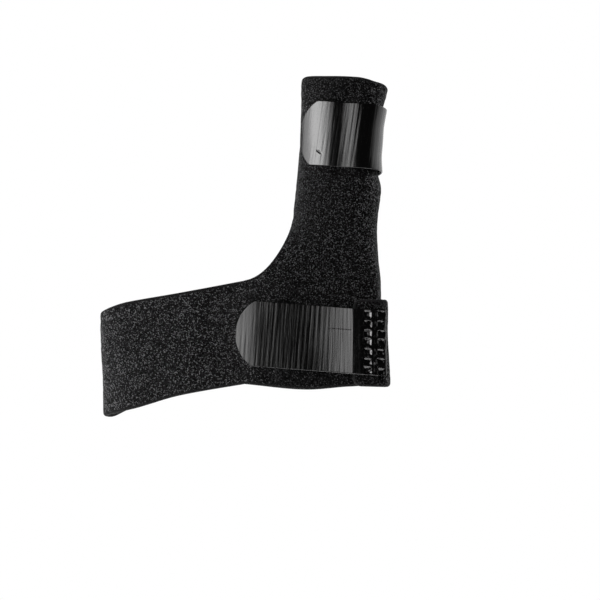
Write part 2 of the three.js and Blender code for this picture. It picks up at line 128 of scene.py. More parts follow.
BAND_EDGES = {
    "place": (0.39, 0.63, 0.82, 1, 1.1, 1.25, 1.5, 2, 2.5, 3, 4),
    "top": (0.672, 0.553, 0.469, 0.369, 0.365, 0.385, 0.48, 0.62, 0.56, 0.49, 0.49),
    "bottom": (-0.328, -0.442, -0.583, -0.67, -0.685, -0.61, -0.48, -0.3, -0.31, -0.36, -0.345),
}
PANEL_HEM = {
    "place": (-1.4, -1, -0.4, 0, 0.16, 0.39),
    "bottom": (-0.36, -0.355, -0.338, -0.35, -0.38, -0.328),
}
JUNCTION = BAND_EDGES["place"][0]
NECK_BOTTOM = BAND_EDGES["top"][0] * BAND_WIDTH

# How full each quarter of an outline is: 2 is an ellipse, more is squarer. The quarters are
# front to little finger side, to back, to thumb side and back to the front.
FINGER_FULLNESS = (2.1, 2.2, 2.2, 2.7)
HAND_FULLNESS = (2.5, 2.4, 2.2, 4.5)
LAP_FULLNESS = 6.0
print("rows in the tables:", [len(t["place"]) for t in (SLEEVE_EDGES, BAND_EDGES, PANEL_HEM)])

# %% [markdown]
# ## The form of the worn cloth
#
# A level of the cloth is an outline round the finger or the hand, made of four quarters of a
# superellipse between its extreme points. A place counts along it: 0 is the front ridge
# line, 1 the little finger side, 2 the back, 3 the thumb side, and 4 the front again, where
# the band laps over the panel. Between the finger and the hand the extreme points blend.
# Everything takes whole arrays of places and heights, so a surface is one call. The cloth
# could also be draped over a modelled hand with Blender's Cloth, but a worked-out form keeps
# the outline of the photograph exactly and gives the same result each run.

# %% Helpers for curves
def smooth(t):
    """Eases from 0 to 1: three t squared less two t cubed."""
    return t * t * (3 - 2 * t)


def eased(value, start, end):
    """Smooth step of value from 0 at start to 1 at end."""
    return smooth(np.clip((value - start) / (end - start), 0, 1))


def through(table, key, column, at):
    """Cubic through a table's rows, with the harmonic mean of both sides' slopes at a row."""
    knots, values = (np.array(table[name], float) for name in (key, column))
    step = np.diff(values) / np.diff(knots)
    both = step[:-1] * step[1:]
    total = np.where(both > 0, step[:-1] + step[1:], 1)
    slope = np.concatenate([step[:1], np.where(both > 0, 2 * both / total, 0), step[-1:]])
    at = np.clip(at, knots[0], knots[-1])
    i = np.clip(np.searchsorted(knots, at, side="right") - 1, 0, len(knots) - 2)
    span = knots[i + 1] - knots[i]
    t = (at - knots[i]) / span
    rest = 1 - t
    value = values[i] * rest**2 * (1 + 2 * t) + values[i + 1] * t**2 * (3 - 2 * t)
    return value + slope[i] * span * t * rest**2 - slope[i + 1] * span * t**2 * rest


def hand_share(z):
    """How far a level belongs to the hand, 1, or to the finger, 0."""
    fall = np.clip((NECK_TOP - z) / (NECK_TOP - NECK_BOTTOM), 0, 1)
    return smooth(fall**NECK_BLEND)


# %% Extreme points and quarters of a level
def extreme(count, z):
    """Extreme point number count at height z: finger's and hand's, blended, plus the lap."""
    rise = (z - NECK_TOP) / SLEEVE_LENGTH
    to_left = FINGER_WIDTH * through(SLEEVE_SECTIONS, "rise", "left", rise)
    to_right = FINGER_WIDTH * through(SLEEVE_SECTIONS, "rise", "right", rise)
    depth = FINGER_DEPTH * through(SLEEVE_SECTIONS, "rise", "depth", rise)
    front = -(HAND_DEPTH / 2) * through(SLEEVE_SECTIONS, "rise", "front", rise)
    thumb_side = HAND_WIDTH / 2 - LAP
    centre = thumb_side - FINGER_INSET - FINGER_WIDTH / 2 + FINGER_LEAN * (z - NECK_TOP)
    middle = front + depth / 2
    crest = centre + FINGER_WIDTH / 2 - CREST_INSET
    shift = HAND_LEAN * np.minimum(z, NECK_TOP)
    thumb_shift = HAND_LEAN * np.minimum(z, THUMB_SIDE_UPRIGHT)
    one = np.ones_like(z)
    finger_x = (crest, centre - to_left, centre, centre + to_right)
    finger_y = (front, middle, front + depth, middle)
    hand_x = (
        one * (thumb_side - CREST_INSET),
        -HAND_WIDTH / 2 + shift,
        one * HAND_WIDTH * HAND_REACH["back"],
        thumb_side + thumb_shift,
    )
    hand_y = (
        -HAND_DEPTH / 2 * one,
        HAND_DEPTH * HAND_REACH["little"] * one,
        HAND_DEPTH / 2 * one,
        HAND_DEPTH * HAND_REACH["thumb"] * one,
    )
    share = hand_share(z)
    side = np.mod(count, 4)
    layer = np.where(count >= 3, LAP, np.where(count <= -2, -LAP, 0)) * share
    x = np.choose(side, finger_x) * (1 - share) + np.choose(side, hand_x) * share
    y = np.choose(side, finger_y) * (1 - share) + np.choose(side, hand_y) * share
    out_x = np.choose(side, (0, -1, 0, 1))
    out_y = np.choose(side, (-1, 0, 1, 0))
    return x + out_x * layer, y + out_y * layer


def quarter(k, z):
    """Corner, two half axes and fullness of the quarter from extreme point k to k + 1."""
    from_x, from_y = extreme(k, z)
    to_x, to_y = extreme(k + 1, z)
    upright = k % 2 == 0
    centre_x, centre_y = np.where(upright, from_x, to_x), np.where(upright, to_y, from_y)
    share = hand_share(z)
    name = np.mod(k, 4)
    hand = np.where(k == 3, LAP_FULLNESS, np.choose(name, HAND_FULLNESS))
    fullness = np.choose(name, FINGER_FULLNESS) * (1 - share) + hand * share
    start = np.stack([from_x - centre_x, from_y - centre_y], -1)
    end = np.stack([to_x - centre_x, to_y - centre_y], -1)
    return np.stack([centre_x, centre_y], -1), start, end, fullness


def quarter_point(corner, start, end, fullness, angle):
    """Superellipse by polar angle: the corner plus both half axes, scaled to the curve."""
    cos, sin = np.maximum(np.cos(angle), 0), np.sin(angle)
    radius = (cos**fullness + sin**fullness) ** (-1 / fullness)
    return corner + (radius * cos)[..., None] * start + (radius * sin)[..., None] * end


QUARTER_STEPS = 48
QUARTER_ANGLES = np.linspace(0, math.pi / 2, QUARTER_STEPS + 1)


def quarter_runs(k, z):
    """Length run along a quarter at each of the sampled angles, one row for each height."""
    parts = [part[:, None] for part in quarter(k, z)]
    points = quarter_point(*parts, np.broadcast_to(QUARTER_ANGLES, (len(z), QUARTER_STEPS + 1)))
    steps = np.linalg.norm(np.diff(points, axis=1), axis=-1)
    return np.concatenate([np.zeros((len(z), 1)), np.cumsum(steps, axis=1)], axis=1)


def level_point(place, z):
    """Point at a place of a level: the angle whose length run is the place's share of it."""
    k = np.floor(place).astype(int)
    runs = quarter_runs(k, z)
    target = (place - k) * runs[:, -1]
    i = np.clip((runs < target[:, None]).sum(axis=1) - 1, 0, QUARTER_STEPS - 1)
    row = np.arange(len(z))
    part = (target - runs[row, i]) / (runs[row, i + 1] - runs[row, i])
    angle = QUARTER_ANGLES[i] + part * QUARTER_ANGLES[1]
    return quarter_point(*quarter(k, z), angle)


# %% Lengths along a level
def length_to(place, z):
    """Signed length along a level from the front ridge line, place 0, to a place."""
    total = np.zeros_like(z)
    for k in range(-3, 5):
        covered = np.clip(place - k, 0, 1) if k >= 0 else -np.clip(k + 1 - place, 0, 1)
        whole = quarter_runs(np.full(len(z), k), z)[:, -1]
        total += covered * whole
    return total


def place_at(length, z, start=0):
    """Place at a signed length from a whole-numbered place, quarter after quarter."""
    length = np.asarray(length, float)
    place = np.full(len(z), float(start))
    for way in (1, -1):
        rest = np.maximum(way * length, 0)
        k = start if way > 0 else start - 1
        for _ in range(4):
            whole = quarter_runs(np.full(len(z), k), z)[:, -1]
            used = np.minimum(rest, whole)
            place = place + way * used / whole
            rest = rest - used
            k += way
    return place


# %% Points of the cloth
PLACE_STEP = 0.012
HEIGHT_STEP = 0.4


def cloth_frame(place, z):
    """Points of the outer face and their outward directions, from small steps round and up."""
    here = level_point(place, z)
    along = level_point(place + PLACE_STEP, z) - level_point(place - PLACE_STEP, z)
    above = level_point(place, z + HEIGHT_STEP) - level_point(place, z - HEIGHT_STEP)
    flat = np.zeros_like(z)
    round_way = np.stack([along[:, 0], along[:, 1], flat], -1)
    up_way = np.stack([above[:, 0], above[:, 1], flat + 2 * HEIGHT_STEP], -1)
    outward = np.cross(up_way, round_way)
    outward /= np.linalg.norm(outward, axis=1, keepdims=True)
    return np.stack([here[:, 0], here[:, 1], z], -1), outward


crest_point, crest_out = cloth_frame(np.zeros(1), np.full(1, NECK_TOP))
print("ridge line at the foot of the sleeve:", crest_point.round(1), "faces", crest_out.round(2))

# %% [markdown]
# ## Dents and waves
#
# Worn cloth is never as smooth as its sections. The tapes press the foam in under their
# free ends and along the front ridge, and the whole sheet waves a little. Sculpting would
# do this by hand, but here both are functions of the point alone, so the layers that lie on
# each other move together and stay apart.

# %% Relief of the worn cloth
TAPE_WIDTH = 20.0
TAPE_SLOPE = 0.075
FINGER_TAPE_DROP = 19.3
FINGER_TAPE_HEIGHT = SLEEVE_TOP - FINGER_TAPE_DROP
HAND_TAPE_HEIGHT = 2.9

WAVE_HEIGHT = 0.13
WAVE_LENGTHS = (9.0, 22.0)
WAVE_COUNT = 14
WAVE_SEED = 11
waves = np.random.default_rng(WAVE_SEED)
wave_ways = waves.normal(size=(WAVE_COUNT, 3))
wave_ways /= np.linalg.norm(wave_ways, axis=1, keepdims=True)
wave_ways *= 2 * math.pi / waves.uniform(*WAVE_LENGTHS, size=(WAVE_COUNT, 1))
wave_starts = waves.uniform(0, 2 * math.pi, WAVE_COUNT)
print("waves of the cloth:", WAVE_COUNT)


def waviness(points):
    """Sum of sine waves in random directions and lengths, of unit root mean square."""
    phase = points @ wave_ways.T + wave_starts
    return np.sin(phase).sum(axis=1) * math.sqrt(2 / WAVE_COUNT)


RIDGE_DENT = {"depth": 0.75, "from_crest": 3.8, "left": 4.6, "right": 5.3, "flat": 11.0, "fall": 6.0}
TIP_DENT = {"depth": 1.3, "x": -6.2, "half_width": 11.0, "flat": 14.0, "fall": 9.0}


def bump(distance, half_width):
    """1 at distance 0, falling smoothly to 0 at the half width."""
    return smooth(np.clip(1 - np.abs(distance) / half_width, 0, 1))


def plateau(distance, flat, fall):
    """1 up to a distance, falling smoothly to 0 beyond it."""
    return 1 - eased(np.abs(distance), flat, flat + fall)


def dents(points):
    """How far the front is pressed in: along the front ridge under the finger tape, and under
    the free end of the hand tape."""
    x, y, z = points.T
    crest = extreme(np.zeros(len(z), int), z)[0]
    off = crest - x - RIDGE_DENT["from_crest"]
    ridge = bump(off, np.where(off > 0, RIDGE_DENT["left"], RIDGE_DENT["right"]))
    ridge *= plateau(z - FINGER_TAPE_HEIGHT, RIDGE_DENT["flat"], RIDGE_DENT["fall"])
    tip = bump(x - TIP_DENT["x"], TIP_DENT["half_width"])
    tip *= plateau(z - HAND_TAPE_HEIGHT, TIP_DENT["flat"], TIP_DENT["fall"])
    front = y < 0
    return np.where(front, RIDGE_DENT["depth"] * ridge + TIP_DENT["depth"] * tip, 0)


# %% [markdown]
# ## Cutting the sheet
#
# The cut is three patches: the panel with the front of the sleeve, the sleeve's flap behind
# the finger, and the band. Each is a grid of rows and columns whose rows get closer next to
# a cut edge, because the edge is rounded there. A boolean cut through a finished tube would
# be quicker to write, but it leaves long thin triangles along the edge. Patches share the
# rows they meet at, and equal points are merged afterwards.

# %% Edges of the cut
NECK_STEPS = 400
NECK_HALVINGS = 30


def panel_edge(z):
    """Place of the panel's edge: wrapped a set length past the thumb side."""
    share = hand_share(z)
    wrap = FINGER_WRAP * (1 - share) + HAND_WRAP * share
    return place_at(-wrap, z, -1)


def flap_end(z):
    """Place of the flap's end, which faces the panel's edge across the slit."""
    whole = quarter_runs(np.full(len(z), -2), z)[:, -1]
    return 4 + panel_edge(z) - CLOSING_GAP / whole


def neck_edge(z):
    """Place of the cut between sleeve and band: a cubic curve in the front view, x(z), and
    then the place with that x, by halving the range of places again and again."""
    start = level_point(np.ones(1), np.full(1, NECK_TOP))[0, 0]
    end = level_point(np.full(1, JUNCTION), np.full(1, NECK_BOTTOM))[0, 0]
    across = (0, *NECK_HANDLES["across"], 1)
    down = (0, *NECK_HANDLES["down"], 1)
    t = np.linspace(0, 1, NECK_STEPS)
    weight = ((1 - t) ** 3, 3 * t * (1 - t) ** 2, 3 * t**2 * (1 - t), t**3)
    curve_x = start + (end - start) * sum(w * a for w, a in zip(weight, across))
    curve_z = NECK_TOP + (NECK_BOTTOM - NECK_TOP) * sum(w * d for w, d in zip(weight, down))
    x = np.interp(-z, -curve_z, curve_x)
    low, high = np.zeros(len(z)), np.ones(len(z))
    for _ in range(NECK_HALVINGS):
        middle = (low + high) / 2
        before = level_point(middle, z)[:, 0] > x
        low, high = np.where(before, middle, low), np.where(before, high, middle)
    return (low + high) / 2


def corner_cut(share, height):
    """How far a free end is cut back at its corners, by a quarter circle."""
    off = np.clip(CORNER_RADIUS - np.minimum(share, 1 - share) * height, 0, None)
    return CORNER_RADIUS - np.sqrt(CORNER_RADIUS**2 - off**2)


def sleeve_top(place):
    """Height of the sleeve's top edge: the top less a share of the sleeve's length."""
    return SLEEVE_TOP - SLEEVE_LENGTH * through(SLEEVE_EDGES, "place", "fall", place)


def panel_hem(place):
    """Height of the panel's lower edge: a share of the band's width."""
    return BAND_WIDTH * through(PANEL_HEM, "place", "bottom", place)


def flap_foot(place):
    """Height of the flap's lower edge: the neck's top plus a share of the length."""
    return NECK_TOP + SLEEVE_LENGTH * through(SLEEVE_EDGES, "place", "lift", place)


# %% Rows and columns
CELL = 0.62
EDGE_STEPS = 5
PANEL_REACH = 48.0
FLAP_REACH = 32.0
BAND_REACH = 190.0


def shares(length):
    """Shares of a length: cosine steps over the rounding at both ends, even cells between."""
    ease = 1 - np.cos(np.linspace(0, math.pi / 2, EDGE_STEPS + 1))
    start = EDGE_ROUND * ease / length
    inner = int(round((length - 2 * EDGE_ROUND) / CELL))
    even = np.linspace(start[-1], 1 - start[-1], inner + 1)[1:-1]
    return np.concatenate([start, even, 1 - start[::-1]])


def spread(first, last, z, columns):
    """Places from first to last on one level, at given shares of the length between them."""
    one = np.full(1, z)
    start, end = (length_to(np.full(1, place), one)[0] for place in (first, last))
    places = place_at(start + (end - start) * columns, np.full(len(columns), z))
    places[0], places[-1] = first, last
    return places


def panel_places(left_place, z, columns):
    """Places of a row from the panel's edge to a given place, spread at height z."""
    return spread(panel_edge(np.full(1, z))[0], left_place, z, columns)


# %% Panel with the front of the sleeve
sleeve_rows = shares(SLEEVE_LENGTH)
neck_rows = np.linspace(0, 1, int((NECK_TOP - NECK_BOTTOM) / CELL))[1:-1]
band_rows = shares(BAND_WIDTH)


def panel_rows():
    """Rows from the sleeve's top edge to the neck, down the neck, and to the panel's hem."""
    columns = shares(PANEL_REACH)
    rows = []
    for share in sleeve_rows:
        middle = sleeve_top(0.0) * (1 - share) + NECK_TOP * share
        places = panel_places(1.0, middle, columns)
        rows.append((places, sleeve_top(places) * (1 - share) + NECK_TOP * share))
    for share in neck_rows:
        z = NECK_TOP + (NECK_BOTTOM - NECK_TOP) * share
        places = panel_places(neck_edge(np.full(1, z))[0], z, columns)
        rows.append((places, np.full(len(places), z)))
    for share in band_rows:
        middle = NECK_BOTTOM * (1 - share) + panel_hem(0.0) * share
        places = panel_places(JUNCTION, middle, columns)
        rows.append((places, NECK_BOTTOM * (1 - share) + panel_hem(places) * share))
    return rows


# %% Flap and band
def flap_rows():
    """Rows of the flap behind the finger, each cut back at the free end's corners."""
    foot = np.full(1, NECK_TOP)
    columns = shares(FLAP_REACH)
    rows = []
    for share in sleeve_rows:
        level = SLEEVE_TOP * (1 - share) + NECK_TOP * share
        cut = corner_cut(share, SLEEVE_LENGTH) / quarter_runs(np.full(1, 2), foot)[0, -1]
        end = flap_end(np.full(1, level))[0] - cut
        places = spread(1.0, end, NECK_TOP, columns)
        rows.append((places, sleeve_top(places) * (1 - share) + flap_foot(places) * share))
    return rows


def band_strip():
    """Rows of the band from the panel round the hand to its free end on the front."""
    end_height = BAND_WIDTH * (BAND_EDGES["top"][-1] - BAND_EDGES["bottom"][-1])
    columns = shares(BAND_REACH)
    rows = []
    for share in band_rows:
        cut = corner_cut(share, end_height) / quarter_runs(np.full(1, 3), np.zeros(1))[0, -1]
        places = spread(JUNCTION, 4 - cut, 0.0, columns)
        top = BAND_WIDTH * through(BAND_EDGES, "place", "top", places)
        bottom = BAND_WIDTH * through(BAND_EDGES, "place", "bottom", places)
        rows.append((places, top * (1 - share) + bottom * share))
    return rows


patches = [
    tuple(np.stack(part) for part in zip(*rows))
    for rows in (panel_rows(), flap_rows(), band_strip())
]
print("patches:", [part[0].shape for part in patches])

# %% [markdown]
# ## From the cut to one closed mesh
#
# The outer face is the form itself, and the inner face lies a wall deeper. Near a cut edge
# both faces turn towards the middle of the wall on a quarter circle, so they meet there and
# the foam gets its rounded, heat-sealed edge. The distance to the cut decides how far.
# Solidify and Bevel would give a wall and a round edge too, but they fold over where the
# cut turns sharply.

# %% Merge the patches
MERGE_STEP = 0.001


def grid_quads(shape, start):
    """Quads of a grid of rows by columns whose first vertex has the number start."""
    rows, columns = shape
    at = start + np.arange(rows * columns).reshape(rows, columns)
    return np.stack([at[:-1, :-1], at[:-1, 1:], at[1:, 1:], at[1:, :-1]], -1).reshape(-1, 4)


places = np.concatenate([part[0].ravel() for part in patches])
heights = np.concatenate([part[1].ravel() for part in patches])
starts = np.cumsum([0] + [part[0].size for part in patches[:-1]])
quads = np.concatenate([grid_quads(part[0].shape, start) for part, start in zip(patches, starts)])
form, outward = cloth_frame(places, heights)
lattice = np.round(form / MERGE_STEP).astype(int)
_, first, number = np.unique(lattice, axis=0, return_index=True, return_inverse=True)
number = number.ravel()
form, outward = form[first], outward[first]
places, heights, quads = places[first], heights[first], number[quads]
print("cloth vertices on one face:", len(form))


# %% Distance to the cut
CHUNK = 1500


def cut_segments(quads):
    """Edges that only one quad uses, as pairs of vertex numbers."""
    edges = np.sort(np.stack([quads, np.roll(quads, -1, axis=1)], -1).reshape(-1, 2), axis=1)
    unique, uses = np.unique(edges, axis=0, return_counts=True)
    return unique[uses == 1]


def cut_distance(points, segments):
    """Distance from each point to the nearest segment, by its nearest point on each."""
    a = points[segments[:, 0]].astype(np.float32)
    way = points[segments[:, 1]].astype(np.float32) - a
    size = (way**2).sum(-1)
    nearest = []
    for chunk in np.array_split(points.astype(np.float32), len(points) // CHUNK + 1):
        from_a = chunk[:, None] - a[None]
        t = np.clip((from_a * way).sum(-1) / size, 0, 1)
        gap = from_a - t[..., None] * way
        nearest.append(np.sqrt((gap**2).sum(-1).min(axis=1)))
    return np.concatenate(nearest)


segments = cut_segments(quads)
on_cut = np.unique(segments)
to_cut = cut_distance(form, segments)
to_cut[on_cut] = 0
edge_runs = np.linalg.norm(form[segments[:, 0]] - form[segments[:, 1]], axis=1)
print("length of all cut edges:", round(float(edge_runs.sum())), "mm")

# %% Fine relief of the pile
TUFT_HEIGHT = 0.085
TUFT_SIZE = 1.25
FIELD_SIDE = 64
FIELD_SEED = 5
tuft_field = np.random.default_rng(FIELD_SEED).random((FIELD_SIDE,) * 3)


def lattice_noise(points, size):
    """Random values on a cubic lattice, eased between its corners, from -1 to 1."""
    cell = points / size
    low = np.floor(cell).astype(int)
    t = smooth(cell - low)
    total = np.zeros(len(points))
    for corner in np.ndindex(2, 2, 2):
        weight = np.prod(np.where(np.array(corner) == 1, t, 1 - t), axis=1)
        total += weight * tuft_field[tuple(((low + corner) % FIELD_SIDE).T)]
    return 2 * total - 1


# %% Build the cloth
open_face = np.clip(to_cut / EDGE_ROUND, 0, 1)
edge_turn = 1 - np.sqrt(np.clip(1 - (1 - open_face) ** 2, 0, 1))
relief = WAVE_HEIGHT * waviness(form) - dents(form)
tufts = TUFT_HEIGHT * lattice_noise(form, TUFT_SIZE) * open_face
outer = form + outward * (relief + tufts - WALL / 2 * edge_turn)[:, None]
inner = form + outward * (relief - WALL + WALL / 2 * edge_turn)[:, None]
outer[on_cut] = inner[on_cut] = (form + outward * (relief - WALL / 2)[:, None])[on_cut]

inner_number = np.arange(len(form)) + len(form)
inner_number[on_cut] = on_cut
cloth_points = np.concatenate([outer, inner])
cloth_quads = np.concatenate([quads, inner_number[quads[:, ::-1]]])
used, cloth_quads = np.unique(cloth_quads, return_inverse=True)
cloth_quads = cloth_quads.reshape(-1, 4)
cloth_points = cloth_points[used]


# %% Helper for a piece
def new_piece(name, points, faces, materials, face_slots=None, uv=None):
    """A mesh object at the origin, from points in millimetres and faces."""
    mesh = bpy.data.meshes.new(name)
    mesh.from_pydata((points * MM).tolist(), [], [list(face) for face in faces])
    for material in materials:
        mesh.materials.append(material)
    if face_slots is not None:
        mesh.polygons.foreach_set("material_index", face_slots.astype(np.int32))
    if uv is not None:
        corners = np.empty(len(mesh.loops), np.int32)
        mesh.loops.foreach_get("vertex_index", corners)
        layer = mesh.uv_layers.new(name="lay")
        layer.data.foreach_set("uv", uv[corners].astype(np.float32).ravel())
    mesh.polygons.foreach_set("use_smooth", np.ones(len(mesh.polygons), bool))
    mesh.update()
    piece = bpy.data.objects.new(name, mesh)
    bpy.context.scene.collection.objects.link(piece)
    print(name, len(points), "vertices,", len(mesh.polygons), "faces")
    return piece


# %% [markdown]
# ## Finishes
#
# The face of the cloth is a brushed loop pile: a black fibre that shows as a fine speckle,
# because each loop catches the light on its own. Real loops would need millions of curves,
# so the speckle is a pattern: tufts and fibres as two scales of bump, and a grey that
# changes from tuft to tuft. The inner face is a smooth knit, and the cut edge is sealed foam.

# %% Node helpers
def new_material(name, **sockets):
    """A material with its Principled shader's own sockets set, and its node tree's parts."""
    material = bpy.data.materials.new(name)
    material.use_nodes = True
    nodes, links = material.node_tree.nodes, material.node_tree.links
    shader = nodes["Principled BSDF"]
    for socket, value in sockets.items():
        shader.inputs[socket.replace("_", " ")].default_value = value
    return material, nodes, links, shader


def texture(nodes, links, kind, source, **sockets):
    """A texture node on given coordinates, with its sockets set."""
    node = nodes.new(kind)
    links.new(source, node.inputs["Vector"])
    for socket, value in sockets.items():
        node.inputs[socket.replace("_", " ")].default_value = value
    return node


COOL = 1.03


def ramp(nodes, links, source, stops):
    """A colour ramp through (position, grey) stops, each grey a touch cooler in blue."""
    node = nodes.new("ShaderNodeValToRGB")
    links.new(source, node.inputs["Fac"])
    band = node.color_ramp.elements
    while len(band) < len(stops):
        band.new(0.5)
    for element, (position, grey) in zip(band, stops):
        element.position = position
        element.color = (grey, grey, grey * COOL, 1)
    return node


def map_range(nodes, links, source, limits):
    """A smoothly eased map from one range to another, limits being both ranges' ends."""
    node = nodes.new("ShaderNodeMapRange")
    node.interpolation_type = "SMOOTHSTEP"
    links.new(source, node.inputs["Value"])
    for socket, value in zip(("From Min", "From Max", "To Min", "To Max"), limits):
        node.inputs[socket].default_value = value
    return node.outputs["Result"]


def combine(nodes, links, operation, first, second):
    """A math node on two outputs or numbers."""
    node = nodes.new("ShaderNodeMath")
    node.operation = operation
    for socket, value in zip(node.inputs, (first, second)):
        if isinstance(value, (int, float)):
            socket.default_value = value
        else:
            links.new(value, socket)
    return node.outputs["Value"]


def bumped(nodes, links, shader, height, distance):
    """Bump of a height from 0 to 1 with the given depth in millimetres."""
    node = nodes.new("ShaderNodeBump")
    node.inputs["Distance"].default_value = distance * MM
    links.new(height, node.inputs["Height"])
    links.new(node.outputs["Normal"], shader.inputs["Normal"])
    return node


# %% Loop pile
TUFT_SCALE = 3500
FIBRE_SCALE = 5200
TUFT_LEAN = 1.25
TUFT_GREYS = ((0.0, 0.0001), (0.4, 0.0012), (0.75, 0.009), (1.0, 0.08))
TUFT_BUMP = 0.3
TUFT_MIX = 0.4
# Painted shade: the pile's greys are scaled along x, from lighter on the little finger side to darker
# on the thumb side.
PAINTED_SIDE_SHADE = (-0.004, 0.018, 1.2, 0.6)


def leaning(nodes, links, colour):
    """Normals that lean by cell: the surface's own plus a random way from -1/2 to 1/2 in
    each axis times the lean, made a unit vector again."""
    lean = nodes.new("ShaderNodeVectorMath")
    lean.operation = "MULTIPLY_ADD"
    links.new(colour, lean.inputs[0])
    lean.inputs[1].default_value = (TUFT_LEAN,) * 3
    lean.inputs[2].default_value = (-TUFT_LEAN / 2,) * 3
    leant = nodes.new("ShaderNodeVectorMath")
    links.new(lean.outputs["Vector"], leant.inputs[0])
    links.new(nodes.new("ShaderNodeNewGeometry").outputs["Normal"], leant.inputs[1])
    unit = nodes.new("ShaderNodeVectorMath")
    unit.operation = "NORMALIZE"
    links.new(leant.outputs["Vector"], unit.inputs[0])
    return unit.outputs["Vector"]


def loop_pile():
    """Tufts, the cells of a Voronoi pattern: each has its own grey, leans its own way, and
    has a round bump with fine noise for its fibres. The greys are also scaled along x, lighter
    towards the little finger side and darker towards the thumb side: painted shade."""
    material, nodes, links, shader = new_material(
        "loop pile", Roughness=0.55, Specular_IOR_Level=0.02, Sheen_Weight=0.03, Sheen_Roughness=0.15)
    place = nodes.new("ShaderNodeTexCoord").outputs["Object"]
    tufts = texture(nodes, links, "ShaderNodeTexVoronoi", place, Scale=TUFT_SCALE)
    fibres = texture(nodes, links, "ShaderNodeTexNoise", place, Scale=FIBRE_SCALE, Detail=2.0)
    shade = nodes.new("ShaderNodeSeparateColor")
    links.new(tufts.outputs["Color"], shade.inputs["Color"])
    round_tuft = combine(nodes, links, "SUBTRACT", 1.0, tufts.outputs["Distance"])
    height = combine(nodes, links, "ADD", round_tuft, shade.outputs["Green"])
    height = combine(nodes, links, "ADD", height, fibres.outputs["Fac"])
    height = combine(nodes, links, "MULTIPLY", height, TUFT_MIX)
    bump_node = bumped(nodes, links, shader, height, TUFT_BUMP)
    links.new(leaning(nodes, links, tufts.outputs["Color"]), bump_node.inputs["Normal"])
    speckle = ramp(nodes, links, shade.outputs["Red"], TUFT_GREYS)
    # Painted shade: the tuft greys are scaled along x, lighter on the little finger side and darker on
    # the thumb side.
    across = nodes.new("ShaderNodeSeparateXYZ")
    links.new(place, across.inputs["Vector"])
    painted_shade_and_uv_stretch = map_range(nodes, links, across.outputs["X"], PAINTED_SIDE_SHADE)
    painted_shade = nodes.new("ShaderNodeVectorMath")
    painted_shade.operation = "SCALE"
    links.new(speckle.outputs["Color"], painted_shade.inputs["Vector"])
    links.new(painted_shade_and_uv_stretch, painted_shade.inputs["Scale"])
    links.new(painted_shade.outputs["Vector"], shader.inputs["Base Color"])
    return material


# %% [markdown]
# ## Sealed edge and knit
#
# Foam cloth is cut with a hot blade, so its edge melts to a matt skin, and its inner side is
# a smooth jersey. Both could be photographs on the mesh, but noise and waves have no seams
# and can be changed by a number. Nothing of the inner side shows in front, so it is a guess.

# %% Sealed edge and knit
SEAL_GREYS = ((0.35, 0.001), (0.65, 0.004))
SEAL_BUMP = 0.12


def sealed_edge():
    """Foam and knit melted together by the hot cut: matt, with a slight grain."""
    material, nodes, links, shader = new_material("sealed edge", Roughness=0.7, Specular_IOR_Level=0.08)
    place = nodes.new("ShaderNodeTexCoord").outputs["Object"]
    grain = texture(nodes, links, "ShaderNodeTexNoise", place, Scale=FIBRE_SCALE, Detail=2.0)
    bumped(nodes, links, shader, grain.outputs["Fac"], SEAL_BUMP)
    colour = ramp(nodes, links, grain.outputs["Fac"], SEAL_GREYS)
    links.new(colour.outputs["Color"], shader.inputs["Base Color"])
    return material


KNIT_PITCH = 0.55
KNIT_BUMP = 0.16
KNIT_GREYS = ((0.1, 0.006), (0.9, 0.02))
UV_LENGTH = 10
WALE_SCALE = UV_LENGTH / KNIT_PITCH / (2 * math.pi)
COURSES_PER_WALE = 1.3


def smooth_knit():
    """Jersey: wales that run up the cloth, waved by their stitches, from the cloth's UVs."""
    material, nodes, links, shader = new_material(
        "smooth knit", Roughness=0.6, Specular_IOR_Level=0.15, Sheen_Weight=0.05)
    place = nodes.new("ShaderNodeUVMap").outputs["UV"]
    wales = texture(nodes, links, "ShaderNodeTexWave", place, Scale=WALE_SCALE, Distortion=1.2)
    wales.inputs["Detail Scale"].default_value = 3.0
    stitches = texture(nodes, links, "ShaderNodeTexWave", place, Scale=WALE_SCALE * COURSES_PER_WALE)
    stitches.bands_direction = "Y"
    height = combine(nodes, links, "ADD", wales.outputs["Fac"], stitches.outputs["Fac"])
    bumped(nodes, links, shader, combine(nodes, links, "MULTIPLY", height, 0.5), KNIT_BUMP)
    colour = ramp(nodes, links, wales.outputs["Fac"], KNIT_GREYS)
    links.new(colour.outputs["Color"], shader.inputs["Base Color"])
    return material


# %% [markdown]
# ## The cloth in its place
#
# Each face of the mesh gets one of the three finishes, by its side and by its distance to
# the cut. Its UVs are the flat cloth: length along the level and height, in centimetres, so
# the knit follows the cloth round the hand. An automatic unwrap would cut it into islands.

# %% Put the cloth in place
PILE_FACE, EDGE_FACE, KNIT_FACE = range(3)
SEALED_SHARE = 0.75
sealed = to_cut[quads].max(axis=1) < SEALED_SHARE * EDGE_ROUND
outer_slots = np.where(sealed, EDGE_FACE, PILE_FACE)
inner_slots = np.where(sealed, EDGE_FACE, KNIT_FACE)
lengths = length_to(places, heights)
face_uv = np.stack([lengths, heights], -1) / UV_LENGTH
cloth_uv = np.concatenate([face_uv, face_uv])[used]

wrap = new_piece(
    "loop_cloth_wrap",
    cloth_points,
    cloth_quads,
    (loop_pile(), sealed_edge(), smooth_knit()),
    np.concatenate([outer_slots, inner_slots]),
    cloth_uv,
)
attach(wrap, "root")
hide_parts("splint_wrap")
print("faces at the sealed edge:", int(2 * sealed.sum()))

# %% [markdown]
# ## Hook tapes
#
# A hook tape is a thin moulded film with rows of small hooks under it. Seen from its back it
# is glossy, with a faint rib over each row of hooks. Its square end is welded to the cloth
# through two rows of pits, where the film is melted down. A flat strip bent by a Curve
# modifier could follow the finger, but not the lean of the cloth. So the film is a ring of
# points carried along the tape, and every ring is placed on the cloth's own form.

